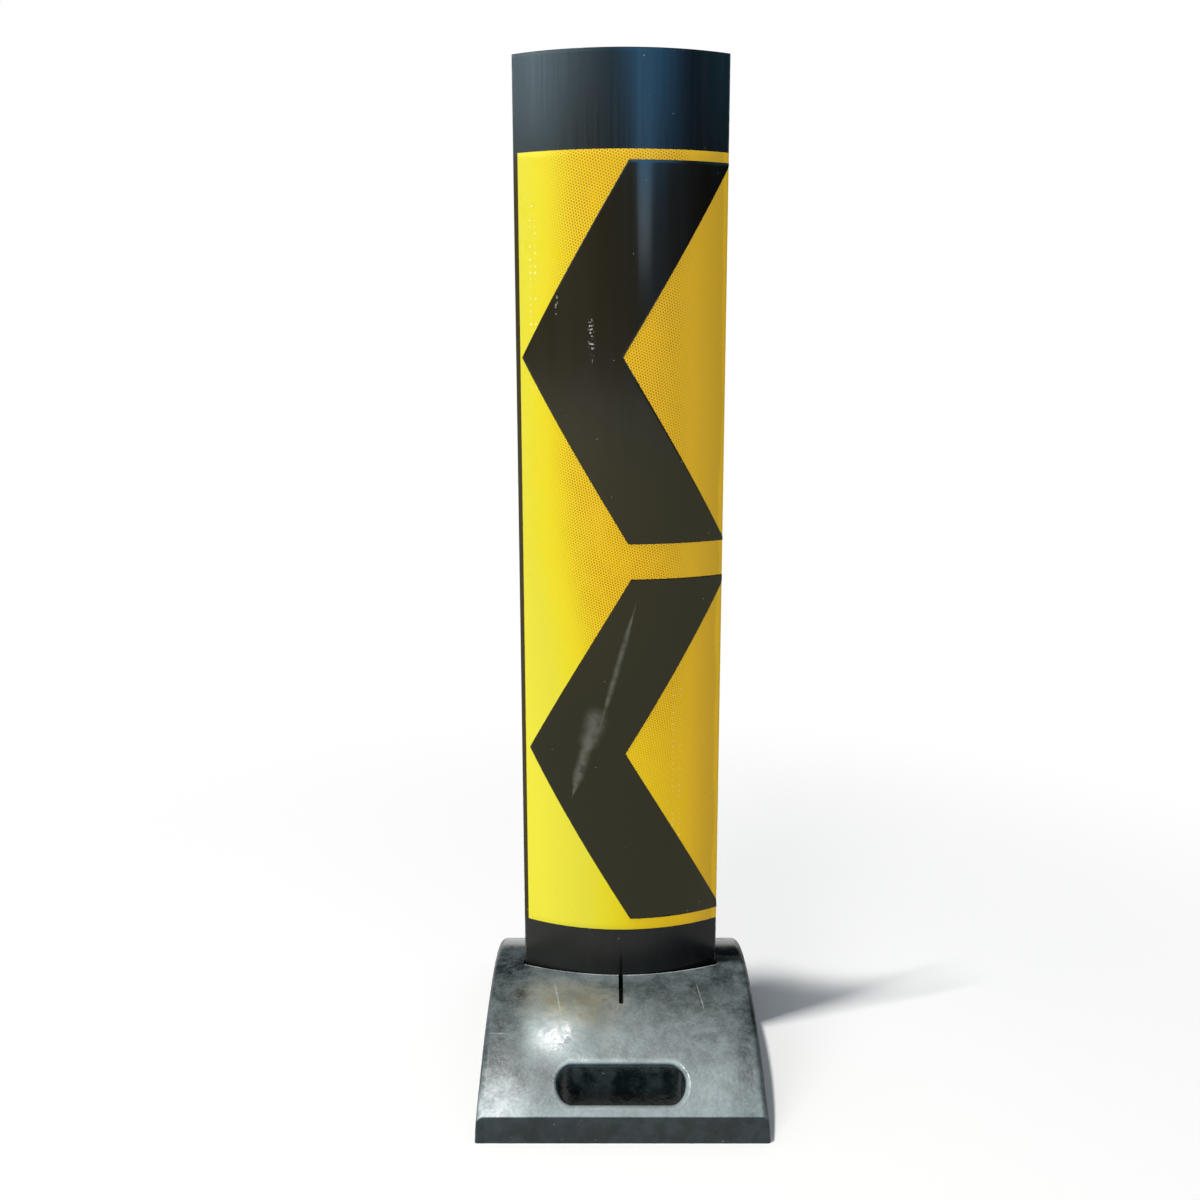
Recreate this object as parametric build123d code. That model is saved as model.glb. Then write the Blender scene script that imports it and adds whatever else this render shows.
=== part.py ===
"""Collapsible delineator post: a springy arc-shaped blade plugged into an arched rubber base.

Millimetres, +Z up, origin on the ground under the middle of the base.
The front, which traffic sees, faces -Y, and the chevrons point to -X.
"""
import os
from math import asin, cos, degrees, radians, sin, sqrt, tan

from build123d import *

# Rubber base, moulded as an arch with faces that lean in a little
base_length = 364.0  # front to back, at the ground
side_margin = 38.7  # rubber on each side of the blade, at the ground
crest_height = 92.0  # top of the arch, where the blade stands
end_height = 27.0  # upright faces at the front and the back
draft_angle = 3.0  # degrees that the side and end faces lean in
side_edge_radius = 8.0  # the two long arched edges
end_edge_radius = 2.5  # the edges round the front and back faces

# Socket in the crest, a curved slot that is a little flatter than the blade
socket_floor = 35.0  # rubber left under the blade
socket_radius = 255.0  # front wall
socket_front_gap = 1.5  # between the front wall and the middle of the blade
socket_end_gap = 1.2  # between the blade's two edges and the ends of the socket
socket_corner_radius = 3.0

# Hand holes, one near each end, straight through the base
hole_length = 124.0
hole_width = 29.0
grip_bar = 15.5  # rubber left between a hole and the end face, at the top of that face
hole_rim_radius = 6.0

# Blade, a slice of a large pipe
blade_arc = 222.8  # width, measured round the outer face
blade_radius = 195.0  # outer face
blade_thickness = 5.0
blade_edge_radius = 0.6
bare_band = 52.0  # plain blade between the crest and the sheeting, where the post folds
fold_margin = 1.0  # stiff blade kept at each end of the bare band
top_band = 91.0  # plain blade above the sheeting

# Cross fin, halved into the foot of the blade
fin_thickness = 3.8
fin_cover = 9.0  # depth of the fin's top edge in the rubber, at the end of its slot
slot_reach = 49.5  # how far the slot for the fin runs out past the blade

# Sheeting and the chevrons on it
sheeting_height = 800.0
sheeting_thickness = 0.5
left_margin = 6.0  # bare blade beside the sheeting, measured round the blade
right_margin = 0.8
chevron_thickness = 0.3
glue_layer = 0.15  # behind each film
chevron_band = 105.2  # width of an arm, measured level
chevron_run = 110.5  # how far an arm leans sideways
upper_tip_margin = 2.3  # yellow left of the upper tip
lower_tip_margin = 5.1  # the lower film was laid a little farther right
chevron_foot_margin = 12.3  # yellow below the lower chevron
chevron_head_margin = 9.7  # yellow above the upper chevron
chevron_gap = 36.0  # yellow between the two chevrons

# Fits
slide_clearance = 0.4  # round the fin in its slot, and between the blade's edges and the rear wall
halving_clearance = 0.15  # between the blade and the fin where they cross
cut_over = 5.0  # how far a cut runs past what it cuts

# Blade and base, places that follow from the sizes
half_arc = blade_arc / 2
half_angle = half_arc / blade_radius
blade_depth = blade_radius - (blade_radius - blade_thickness) * cos(half_angle)
blade_front = -blade_depth / 2
blade_middle = blade_front + blade_thickness / 2
blade_axis = (0, blade_front + blade_radius)
blade_half_width = blade_radius * sin(half_angle)
base_width = 2 * (blade_half_width + side_margin)
end_face = base_length / 2 - end_height * tan(radians(draft_angle))
arch_rise = crest_height - end_height
arch_radius = (end_face**2 + arch_rise**2) / (2 * arch_rise)
arch_centre = crest_height - arch_radius

# Socket: both walls turn about one axis, and the rear one passes just behind the blade's two edges
socket_axis = (0, blade_front - socket_front_gap + socket_radius)
socket_half_width = blade_half_width + socket_end_gap
edge_across = (blade_radius - blade_thickness) * sin(half_angle)
edge_ahead = socket_axis[1] - (blade_front + blade_depth)
socket_rear_radius = sqrt(edge_across**2 + edge_ahead**2) - slide_clearance

# Levels, from the foot of the blade up
foot_level = socket_floor
fold_bottom = crest_height + fold_margin
sheeting_bottom = crest_height + bare_band
fold_top = sheeting_bottom - fold_margin
sheeting_top = sheeting_bottom + sheeting_height
blade_top = sheeting_top + top_band

# Fin and its slot
slot_half = slot_reach - blade_front
fin_top = arch_centre + sqrt(arch_radius**2 - slot_half**2) - fin_cover
fin_joint = (foot_level + fin_top) / 2

# Films: the radius of the sheeting's outer face, and edges measured round the blade from its middle
sheeting_face = blade_radius + glue_layer + sheeting_thickness
sheeting_left = left_margin - half_arc
sheeting_right = half_arc - right_margin
chevron_room = sheeting_height - chevron_foot_margin - chevron_gap - chevron_head_margin
chevron_rise = chevron_room / 4  # each of the two chevrons rises and falls
lower_tip = (sheeting_left + lower_tip_margin, sheeting_bottom + chevron_foot_margin + chevron_rise)
upper_tip = (sheeting_left + upper_tip_margin, sheeting_top - chevron_head_margin - chevron_rise)


def front_arc(axis, radius, left, right):
    """An arc about an axis, from left to right of the direction straight ahead, in radians."""
    straight_ahead = 270
    return CenterArc(axis, radius, straight_ahead + degrees(left), degrees(right - left))


def between_arcs(outer, inner):
    """Section between two arcs, closed by straight lines at their ends."""
    return make_face([outer, Line(outer @ 1, inner @ 1), inner, Line(inner @ 0, outer @ 0)])


def arc_band(inner_radius, outer_radius, left, right):
    """Section between two radii about the blade's axis, from left to right round its outer face."""
    turns = (left / blade_radius, right / blade_radius)
    outer = front_arc(blade_axis, outer_radius, *turns)
    inner = front_arc(blade_axis, inner_radius, *turns)
    return between_arcs(outer, inner)


def upright(section, bottom, top):
    """A section pulled up from one level to another."""
    return Pos(0, 0, bottom) * extrude(section, top - bottom)


def rubber_base():
    """Arched block with rounded edges, two hand holes and a crossed socket for the blade and fin."""
    arch = Rot(0, 90, 0) * Cylinder(arch_radius, base_width + 2 * cut_over)
    block = extrude(Rectangle(base_width, base_length), crest_height + cut_over, taper=draft_angle)
    base = block & Pos(0, 0, arch_centre) * arch
    long_edges = arch_face(base).edges().sort_by(Axis.X)
    base = fillet([long_edges[0], long_edges[-1]], side_edge_radius)
    base = fillet(end_edges(base), end_edge_radius)
    for end in (-1, 1):
        base = hand_hole(base, end)
    return base - upright(socket_section(), foot_level, crest_height + cut_over)


def arch_face(base):
    """The large curved face on top of the base."""
    return base.faces().filter_by(GeomType.CYLINDER).sort_by(SortBy.AREA)[-1]


def end_edges(base):
    """All edges round the front and back faces but the ones on the ground."""
    ground = base.edges().group_by(Axis.Z)[0]
    ends = base.faces().filter_by(GeomType.PLANE).sort_by(Axis.Y)
    return [edge for face in (ends[0], ends[-1]) for edge in face.edges() if edge not in ground]


def hand_hole(base, end):
    """Cut one oblong hole behind the grip bar at an end, and round its upper rim."""
    middle = end * (end_face - grip_bar - hole_width / 2)
    section = Pos(0, middle) * SlotOverall(hole_length, hole_width)
    base = base - upright(section, -cut_over, crest_height + cut_over)
    rim = min(arch_face(base).inner_wires(), key=lambda wire: abs(wire.center().Y - middle))
    most_of_bar = 0.6 * (grip_bar - end_edge_radius)
    return fillet(rim.edges(), min(hole_rim_radius, most_of_bar))


def socket_wall(radius):
    """An arc about the socket's axis, from one end of the socket to the other."""
    turn = asin(socket_half_width / radius)
    return front_arc(socket_axis, radius, -turn, turn)


def socket_section():
    """A curved slot for the blade, crossed by a straight one that the fin drops into."""
    curved = between_arcs(socket_wall(socket_radius), socket_wall(socket_rear_radius))
    curved = fillet(curved.vertices(), socket_corner_radius)
    straight = SlotOverall(2 * slot_half, fin_thickness + 2 * slide_clearance, rotation=90)
    return curved + straight


def blade_piece(bottom, top):
    """A length of the blade between two levels."""
    section = arc_band(blade_radius - blade_thickness, blade_radius, -half_arc, half_arc)
    return upright(fillet(section.vertices(), blade_edge_radius), bottom, top)


def blade_root():
    """Foot of the blade, notched from below for the fin."""
    notch = Rectangle(fin_thickness + 2 * halving_clearance, blade_thickness + 2 * cut_over)
    cut = upright(Pos(0, blade_middle) * notch, foot_level - cut_over, fin_joint)
    return blade_piece(foot_level, fold_bottom) - cut


def cross_fin():
    """Flat plate in the fall plane, notched from above for the blade."""
    length = 2 * (slot_half - slide_clearance)
    plate = upright(SlotOverall(length, fin_thickness, rotation=90), foot_level, fin_top)
    notch = Rectangle(fin_thickness + 2 * cut_over, blade_thickness + 2 * halving_clearance)
    return plate - upright(Pos(0, blade_middle) * notch, fin_joint, fin_top + cut_over)


def film(inner_radius, thickness):
    """A film as high and wide as the sheeting, bent round the blade at a radius."""
    section = arc_band(inner_radius, inner_radius + thickness, sheeting_left, sheeting_right)
    return upright(section, sheeting_bottom, sheeting_top)


def chevron(tip, tip_height):
    """Black film cut as an arrow to the left and laid on the sheeting, its tip at a place on the flat film.

    Its slanted edges are straight on the flat film, so seen from the front they bow on the blade.
    """
    notch = tip + chevron_band
    top = tip_height + chevron_rise
    bottom = tip_height - chevron_rise
    outline = [
        slanted_edge((tip, tip_height), (tip + chevron_run, top)),
        level_edge(tip + chevron_run, notch + chevron_run, top),
        slanted_edge((notch + chevron_run, top), (notch, tip_height)),
        slanted_edge((notch, tip_height), (notch + chevron_run, bottom)),
        level_edge(notch + chevron_run, tip + chevron_run, bottom),
        slanted_edge((tip + chevron_run, bottom), (tip, tip_height)),
    ]
    cutter = extrude(Plane.XZ.offset(-blade_radius) * make_face(outline), 2 * blade_radius)
    return film(sheeting_face + glue_layer, chevron_thickness) & cutter


def from_front(along, height):
    """Where a point of the flat film lies, seen from the front, once the film is on the blade."""
    return (sheeting_face * sin(along / blade_radius), height)


def slanted_edge(start, end):
    """A straight cut across the film, from one (along, height) to another."""
    steps = 6
    shares = [step / steps for step in range(steps + 1)]
    along = [start[0] + share * (end[0] - start[0]) for share in shares]
    height = [start[1] + share * (end[1] - start[1]) for share in shares]
    return Spline([from_front(*point) for point in zip(along, height)])


def level_edge(start, end, height):
    """A level cut across the film."""
    return Line(from_front(start, height), from_front(end, height))


nodes = {
    "rubber_base": rubber_base(),
    "blade_root": blade_root(),
    "blade_fold_band": blade_piece(fold_bottom, fold_top),
    "blade_panel": blade_piece(fold_top, blade_top),
    "cross_fin": cross_fin(),
    "front_sheeting": film(blade_radius + glue_layer, sheeting_thickness),
    "upper_chevron": chevron(*upper_tip),
    "lower_chevron": chevron(*lower_tip),
}

os.makedirs("parts", exist_ok=True)
for name, shape in nodes.items():
    export_step(shape, f"parts/{name}.step")
    print(name, round(shape.volume / 1000, 2), "cm3")
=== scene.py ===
# %% [markdown]
# # A collapsible delineator post
# The post stands at the edge of a lane. A springy black blade, cut from a large plastic pipe, is plugged
# into a heavy arch of recycled rubber. Its front carries yellow reflective sheeting with two black
# chevrons. This lesson dresses the measured model: it adds the finishes, and it rebuilds the blade and
# its films as fine meshes, because a glossy curve shows every facet. Everything is in metres, +Z is up
# and traffic is at -Y.

# %% Load the measured model
from math import cos, pi, radians, sin
from types import SimpleNamespace

import bpy
from mathutils import Matrix, Vector


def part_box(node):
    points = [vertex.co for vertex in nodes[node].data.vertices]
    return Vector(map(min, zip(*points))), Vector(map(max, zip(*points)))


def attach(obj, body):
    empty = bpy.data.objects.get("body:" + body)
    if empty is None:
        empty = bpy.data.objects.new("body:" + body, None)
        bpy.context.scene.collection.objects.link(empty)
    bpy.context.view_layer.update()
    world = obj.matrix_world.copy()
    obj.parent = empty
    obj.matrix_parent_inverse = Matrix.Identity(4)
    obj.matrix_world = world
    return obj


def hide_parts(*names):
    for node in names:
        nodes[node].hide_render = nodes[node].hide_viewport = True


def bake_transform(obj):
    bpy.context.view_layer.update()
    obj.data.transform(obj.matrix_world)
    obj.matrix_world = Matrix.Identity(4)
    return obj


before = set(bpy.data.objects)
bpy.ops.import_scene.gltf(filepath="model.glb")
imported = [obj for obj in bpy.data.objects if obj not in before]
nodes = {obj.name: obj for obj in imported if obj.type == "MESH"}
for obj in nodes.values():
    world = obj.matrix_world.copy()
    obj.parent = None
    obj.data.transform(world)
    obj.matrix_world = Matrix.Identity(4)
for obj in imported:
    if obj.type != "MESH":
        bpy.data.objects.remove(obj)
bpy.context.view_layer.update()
print("pieces in the model:", sorted(nodes))

# %% [markdown]
# ## Small helpers for node trees
# Geometry trees and shader trees are built the same way: make a node, then either type a value into a
# socket or draw a wire to it. That could be written out each time, but one helper does both, so that the
# cells below read like a recipe. The step that comes back most is a smooth ramp: it turns a measure, such
# as a height, into a share between 0 and 1. A pair of numbers among the values below mostly holds the
# two ends of such a ramp: the effect is least at the first and most at the second. Where two more
# numbers follow, they say how strong it is at each end.

# %% Helpers that add a node, a sum and a ramp
def feed(tree, socket, value):
    """Wire an output to a socket, or type a plain value into it."""
    if isinstance(value, bpy.types.NodeSocket):
        tree.links.new(value, socket)
    else:
        socket.default_value = value


def fill(tree, node, inputs):
    """Feed several sockets of a node: {socket: value}."""
    for name, value in inputs.items():
        feed(tree, node.inputs[name], value)


def add(tree, kind, inputs=None, **settings):
    """Add a node, choose its settings and fill its sockets."""
    node = tree.nodes.new(kind)
    for name, value in settings.items():
        setattr(node, name, value)
    fill(tree, node, inputs or {})
    return node


def calc(tree, operation, *values):
    """One sum: a Math node with its values, returning its result."""
    return add(tree, "ShaderNodeMath", dict(enumerate(values)), operation=operation).outputs[0]


def times(tree, *values):
    """Multiply several values."""
    product = values[0]
    for value in values[1:]:
        product = calc(tree, "MULTIPLY", product, value)
    return product


def ramp(tree, value, low, high, start=0.0, end=1.0):
    """Turn a value between low and high smoothly into one between start and end."""
    sockets = {"Value": value, "From Min": low, "From Max": high, "To Min": start, "To Max": end}
    return add(tree, "ShaderNodeMapRange", sockets, interpolation_type="SMOOTHSTEP").outputs[0]


print("helpers are ready")

# %% [markdown]
# ## The camera
# The photograph was taken from about table height, looking a little down at the post. The camera could be
# set by eye, but its place, tilt and lens were worked out from the edges of the blade, its films and the
# base, which now fall within a pixel or two of where the photograph shows them. The lens is written for
# a square picture, and the angles are in radians.

# %% Place the camera
CAMERA_PLACE = Vector((-0.0152, -1.2815, 0.7642))
LENS_MM = 37.94
SENSOR_MM = 36.0
LOOK_DOWN = 0.20148
TURN_LEFT = 0.00488
ROLL = -0.00260

camera_data = bpy.data.cameras.new("camera")
camera_data.lens = LENS_MM
camera_data.sensor_width = SENSOR_MM
camera = bpy.data.objects.new("camera", camera_data)
turn = Matrix.Rotation(TURN_LEFT, 4, "Z")
tilt = Matrix.Rotation(pi / 2 - LOOK_DOWN, 4, "X")
camera.matrix_world = Matrix.Translation(CAMERA_PLACE) @ turn @ tilt @ Matrix.Rotation(ROLL, 4, "Z")
bpy.context.scene.collection.objects.link(camera)
bpy.context.scene.camera = camera
bpy.context.scene.view_settings.view_transform = "Standard"
print("camera at", tuple(round(x, 3) for x in CAMERA_PLACE))

# %% [markdown]
# ## Floor and room
# The post stands on a pale floor in a white room. The room could be lit until it is white, but that light
# would fall on the post as well. So rays that show the room, straight or in a reflection, see it white by
# itself. Near the post the floor is real paint, so that it takes the shadow, and farther off it fades
# into the white of the room. Only a little light comes back up from it, as from a road.

# %% Paint for the floor
PAINT = (0.95, 0.95, 0.95, 1.0)
PAINT_ROUGHNESS = 0.9
BOUNCE = (0.22, 0.215, 0.20, 1.0)
WHITE = (1.0, 1.0, 1.0, 1.0)
SHADOW_NEAR = 0.45
SHADOW_FAR = 1.3


def new_finish(name):
    """A material with its tree and its shader."""
    material = bpy.data.materials.new(name)
    material.use_nodes = True
    return material, material.node_tree, material.node_tree.nodes["Principled BSDF"]


def mix(tree, share, first, second):
    """Mix two colours by a share, returning the result."""
    node = add(tree, "ShaderNodeMix", {"Factor": share}, data_type="RGBA")
    colours = [socket for socket in node.inputs if socket.type == "RGBA"]
    feed(tree, colours[0], first)
    feed(tree, colours[1], second)
    return [socket for socket in node.outputs if socket.type == "RGBA"][0]


def length(tree, vector):
    """The length of a vector."""
    return add(tree, "ShaderNodeVectorMath", {0: vector}, operation="LENGTH").outputs["Value"]


def seen_directly(tree):
    """1 for rays that show the room: straight to the camera, in a reflection or through glass."""
    path = add(tree, "ShaderNodeLightPath").outputs
    seen = calc(tree, "MAXIMUM", path["Is Camera Ray"], path["Is Glossy Ray"])
    return calc(tree, "MAXIMUM", seen, path["Is Transmission Ray"])


def make_floor_paint():
    material, tree, shader = new_finish("floor_paint")
    seen = seen_directly(tree)
    paint = mix(tree, seen, BOUNCE, PAINT)
    fill(tree, shader, {"Base Color": paint, "Roughness": PAINT_ROUGHNESS, "Specular IOR Level": 0.0})
    distance = length(tree, add(tree, "ShaderNodeTexCoord").outputs["Object"])
    fade = times(tree, seen, ramp(tree, distance, SHADOW_NEAR, SHADOW_FAR))
    white = add(tree, "ShaderNodeEmission", {"Color": WHITE, "Strength": 1.0}).outputs[0]
    surface = add(tree, "ShaderNodeMixShader", {0: fade, 1: shader.outputs[0], 2: white}).outputs[0]
    fill(tree, tree.nodes["Material Output"], {"Surface": surface})
    return material


floor_paint = make_floor_paint()
print("finish:", floor_paint.name)

# %% Lay the floor and light the room
FLOOR_HALF = 8.0
ROOM_LIGHT = (0.84, 0.92, 1.0, 1.0)
ROOM_STRENGTH = 0.30


def add_to_stage(name, corners, faces, material):
    """A thing of the studio: it is seen or mirrored, but it's no piece of the post."""
    mesh = bpy.data.meshes.new(name)
    mesh.from_pydata(corners, [], faces)
    mesh.materials.append(material)
    thing = bpy.data.objects.new(name, mesh)
    bpy.context.scene.collection.objects.link(thing)
    return thing


def make_room():
    """A world that is white to look at and gives off a little blue light."""
    world = bpy.data.worlds.new("room")
    world.use_nodes = True
    tree = world.node_tree
    shown = tree.nodes["Background"]
    shown.inputs["Color"].default_value = WHITE
    light = add(tree, "ShaderNodeBackground", {"Color": ROOM_LIGHT, "Strength": ROOM_STRENGTH})
    choice = {0: seen_directly(tree), 1: light.outputs[0], 2: shown.outputs[0]}
    surface = add(tree, "ShaderNodeMixShader", choice).outputs[0]
    fill(tree, tree.nodes["World Output"], {"Surface": surface})
    return world


floor_corners = [(x * FLOOR_HALF, y * FLOOR_HALF, 0) for x, y in ((-1, -1), (1, -1), (1, 1), (-1, 1))]
add_to_stage("floor", floor_corners, [(0, 1, 2, 3)], floor_paint)
bpy.context.scene.world = make_room()
print("floor", 2 * FLOOR_HALF, "m wide, room light", ROOM_STRENGTH)

# %% [markdown]
# ## Something to mirror
# Black gloss has hardly any colour of its own, so what it mirrors is what we see. In a plain white room
# it would look grey and flat. A ring far round the post stands in for a roadside: in front, a dark hedge
# with one gap in it under a sky that is pale on the sun's side and deep blue on the other, and behind, a
# low haze. A few painted colours are enough for that, and each can be moved by its number. Only
# reflections see the ring, so it puts no light on the post.

# %% Colours and heights of the roadside
RING_RADIUS = 8.0
RING_HEIGHT = 8.0
HEDGE_TOP = 2.18
HEDGE_SOFT = 0.14
HEDGE_FOOT = (0.63, 0.27)
TREES = 0.25
TREES_RISE = (0.18, 0.34)
TREES_FALL = (0.60, 0.54)
GAP_DIRECTION = radians(15)
GAP_HALF = radians(4.8)
GAP_SOFT = 0.7
GAP_FOOT = 1.3
BEHIND = (0.02, 0.02, 0.02, 1.0)
HAZE = (0.80, 0.77, 0.73, 1.0)
HAZE_TOP = 0.9
ZENITH = (0.15, 0.20, 0.26, 1.0)
OVERHEAD = (0.6 * RING_HEIGHT, 0.95 * RING_HEIGHT)
LOW_SKY = (0.28, 0.37, 0.43, 1.0)
LOW_SKY_FADE = (2.15, 1.6)
FRONT_SOFT = 0.1 * RING_RADIUS
SKY_LEVEL = 6.2
SKY_SPAN = radians(72)
SKY_COLOURS = {
    0.00: (0.42, 0.61, 0.73),
    0.12: (0.60, 0.86, 1.00),
    0.46: (0.060, 0.140, 0.20),
    0.60: (0.120, 0.45, 0.85),
    0.80: (0.002, 0.011, 0.029),
    0.93: (0.024, 0.08, 0.12),
}
HEDGE_COLOURS = {
    0.00: (0.15, 0.13, 0.09),
    0.57: (0.15, 0.13, 0.09),
    0.64: (0.06, 0.15, 0.30),
    0.78: (0.05, 0.08, 0.13),
    0.85: (0.02, 0.02, 0.01),
}
print("hedge", HEDGE_TOP, "m high, sky in", len(SKY_COLOURS), "colours from left to right")


# %% Paint for the ring
def split(tree, vector):
    """The X, Y and Z of a vector."""
    return add(tree, "ShaderNodeSeparateXYZ", {0: vector}).outputs


def ramp_straight(tree, value, low, high):
    """Turn a value between low and high evenly into one between 0 and 1."""
    return add(tree, "ShaderNodeMapRange", {"Value": value, "From Min": low, "From Max": high}).outputs[0]


def between(tree, share, first, second):
    """Mix two numbers by a share."""
    return calc(tree, "MULTIPLY_ADD", share, calc(tree, "SUBTRACT", second, first), first)


def colour_scale(tree, value, stops):
    """A scale of colours: {place between 0 and 1: colour}, read at a value."""
    node = add(tree, "ShaderNodeValToRGB", {0: value})
    points = node.color_ramp.elements
    while len(points) < len(stops):
        points.new(1.0)
    for point, (position, colour) in zip(points, sorted(stops.items())):
        point.position = position
        point.color = (*colour, 1.0)
    return node.outputs["Color"]


def hedge_height(tree, direction, turn):
    """How high the hedge is in a direction: higher where trees stand, and low in the gap."""
    trees = times(tree, ramp(tree, turn, *TREES_RISE, 0.0, TREES), ramp(tree, turn, *TREES_FALL))
    off_gap = calc(tree, "ABSOLUTE", calc(tree, "SUBTRACT", direction, GAP_DIRECTION))
    beside_gap = ramp(tree, off_gap, GAP_SOFT * GAP_HALF, GAP_HALF)
    return between(tree, beside_gap, GAP_FOOT, calc(tree, "ADD", trees, HEDGE_TOP))


def make_roadside():
    material, tree, _ = new_finish("roadside")
    spot = split(tree, add(tree, "ShaderNodeTexCoord").outputs["Object"])
    height = spot["Z"]
    ahead = times(tree, spot["Y"], -1.0)
    direction = calc(tree, "ARCTAN2", spot["X"], ahead)
    turn = ramp_straight(tree, direction, -SKY_SPAN, SKY_SPAN)
    over_hedge = calc(tree, "SUBTRACT", height, hedge_height(tree, direction, turn))
    sky_share = ramp(tree, over_hedge, -HEDGE_SOFT, HEDGE_SOFT)
    sky = mix(tree, ramp(tree, height, *LOW_SKY_FADE), colour_scale(tree, turn, SKY_COLOURS), LOW_SKY)
    hedge = mix(tree, ramp(tree, height, *HEDGE_FOOT), colour_scale(tree, turn, HEDGE_COLOURS), WHITE)
    front = mix(tree, sky_share, hedge, sky)
    behind = mix(tree, ramp(tree, height, 0.0, HAZE_TOP), HAZE, BEHIND)
    is_front = ramp(tree, ahead, -FRONT_SOFT, FRONT_SOFT)
    overhead = ramp(tree, height, *OVERHEAD)
    colour = mix(tree, overhead, mix(tree, is_front, behind, front), ZENITH)
    bright_sky = times(tree, sky_share, is_front, calc(tree, "SUBTRACT", 1.0, overhead))
    strength = between(tree, bright_sky, 1.0, SKY_LEVEL)
    glow = add(tree, "ShaderNodeEmission", {"Color": colour, "Strength": strength}).outputs[0]
    fill(tree, tree.nodes["Material Output"], {"Surface": glow})
    return material


roadside = make_roadside()
print("finish:", roadside.name)

# %% Build the ring
RING_SIDES = 96

ring_turns = [2 * pi * side / RING_SIDES for side in range(RING_SIDES)]
ring_corners = [
    (RING_RADIUS * sin(turn), RING_RADIUS * cos(turn), z)
    for z in (0, RING_HEIGHT)
    for turn in ring_turns
]
ring_faces = [
    (side, (side + 1) % RING_SIDES, RING_SIDES + (side + 1) % RING_SIDES, RING_SIDES + side)
    for side in range(RING_SIDES)
]
ring_faces.append(tuple(range(RING_SIDES, 2 * RING_SIDES)))
ring = add_to_stage("ring", ring_corners, ring_faces, roadside)
ring.visible_camera = False
ring.visible_diffuse = False
ring.visible_transmission = False
ring.visible_shadow = False
print("ring of", RING_SIDES, "sides,", 2 * RING_RADIUS, "m wide")

# %% [markdown]
# ## Lamps
# One lamp can't do it all: a firm shadow needs a small one, and even light on the sheeting a large one.
# So a firm lamp high up on the left stands in for the sun. It casts the blade's shadow across the right
# of the base and puts a sheen on the rubber. A large soft lamp at the front left lights the sheeting. The
# soft lamp is hidden from reflections, because its square would show on the black.

# %% Set the lamps
AIM = Vector((0, 0, 0.45))


def lamp(name, spot, size, power, colour):
    """A soft square lamp that looks at the middle of the post."""
    data = bpy.data.lights.new(name, "AREA")
    data.size = size
    data.energy = power
    data.color = colour
    piece = bpy.data.objects.new(name, data)
    aim = (AIM - Vector(spot)).to_track_quat("-Z", "Y")
    piece.matrix_world = Matrix.Translation(spot) @ aim.to_matrix().to_4x4()
    bpy.context.scene.collection.objects.link(piece)
    return piece


sun_lamp = lamp("sun_lamp", spot=(-1.78, -0.85, 7.20), size=0.4, power=400, colour=(1.0, 0.98, 0.94))
soft_lamp = lamp("soft_lamp", spot=(-1.4, -3.3, 0.55), size=1.4, power=97, colour=(1.0, 0.985, 0.96))
soft_lamp.visible_glossy = False
print("lamps:", [(piece.name, piece.data.energy) for piece in (sun_lamp, soft_lamp)])

# %% [markdown]
# ## Measures of the blade
# The blade is a slice of a pipe. Its levels are read from the measured model, so that they can't drift
# from it. The few sizes that a box can't tell are written here: the radius of the pipe, the width round
# the arc, the wall and the rounding of the edges.

# %% Measures shared by the blade and its films
BLADE_RADIUS = 0.195
BLADE_ARC = 0.2228
BLADE_WALL = 0.005
BLADE_EDGE = 0.0006

foot_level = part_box("blade_root")[0].z
blade_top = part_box("blade_panel")[1].z
blade_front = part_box("blade_root")[0].y
pipe_axis_y = blade_front + BLADE_RADIUS
print("blade from", round(foot_level, 4), "to", round(blade_top, 4))
print("pipe axis at y", round(pipe_axis_y, 4))

# %% [markdown]
# ## Rolling a flat sheet round the pipe
# The blade, the sheeting and the chevrons are all flat sheets that were rolled round the same pipe. Each
# could be bent by a modifier of its own, but one small geometry group does it for all: it takes how far a
# point lies along the arc and how high it is, and gives its place on the pipe. The flat place can then be
# kept on each point, for patterns that follow the sheet.

# %% Geometry group that rolls a sheet
FLOAT = "NodeSocketFloat"
VECTOR = "NodeSocketVector"
NUMBER_SOCKETS = {float: FLOAT, int: "NodeSocketInt"}


def join(tree, x, y, z):
    """A vector from its X, Y and Z."""
    return add(tree, "ShaderNodeCombineXYZ", {0: x, 1: y, 2: z}).outputs[0]


def group_tree(name, kind, inputs, outputs):
    """A node group: {name: first number, or socket type} goes in and {name: socket type} comes out."""
    tree = bpy.data.node_groups.new(name, kind)
    for socket_name, first in inputs.items():
        socket_kind = NUMBER_SOCKETS.get(type(first), first)
        socket = tree.interface.new_socket(socket_name, in_out="INPUT", socket_type=socket_kind)
        if type(first) in NUMBER_SOCKETS:
            socket.default_value = first
    for socket_name, socket_kind in outputs.items():
        tree.interface.new_socket(socket_name, in_out="OUTPUT", socket_type=socket_kind)
    return tree, add(tree, "NodeGroupInput").outputs, add(tree, "NodeGroupOutput")


def make_roll_group():
    """Flat place (along, height) to a place on the pipe of a radius."""
    sockets = {"Flat Place": VECTOR, "Radius": BLADE_RADIUS}
    tree, given, result = group_tree("roll_round_pipe", "GeometryNodeTree", sockets, {"Place": VECTOR})
    flat = split(tree, given["Flat Place"])
    turn = calc(tree, "DIVIDE", flat["X"], BLADE_RADIUS)
    across = times(tree, given["Radius"], calc(tree, "SINE", turn))
    ahead = times(tree, given["Radius"], calc(tree, "COSINE", turn))
    back = calc(tree, "SUBTRACT", pipe_axis_y, ahead)
    fill(tree, result, {"Place": join(tree, across, back, flat["Y"])})
    return tree


roll_group = make_roll_group()
print("geometry group:", roll_group.name)

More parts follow.
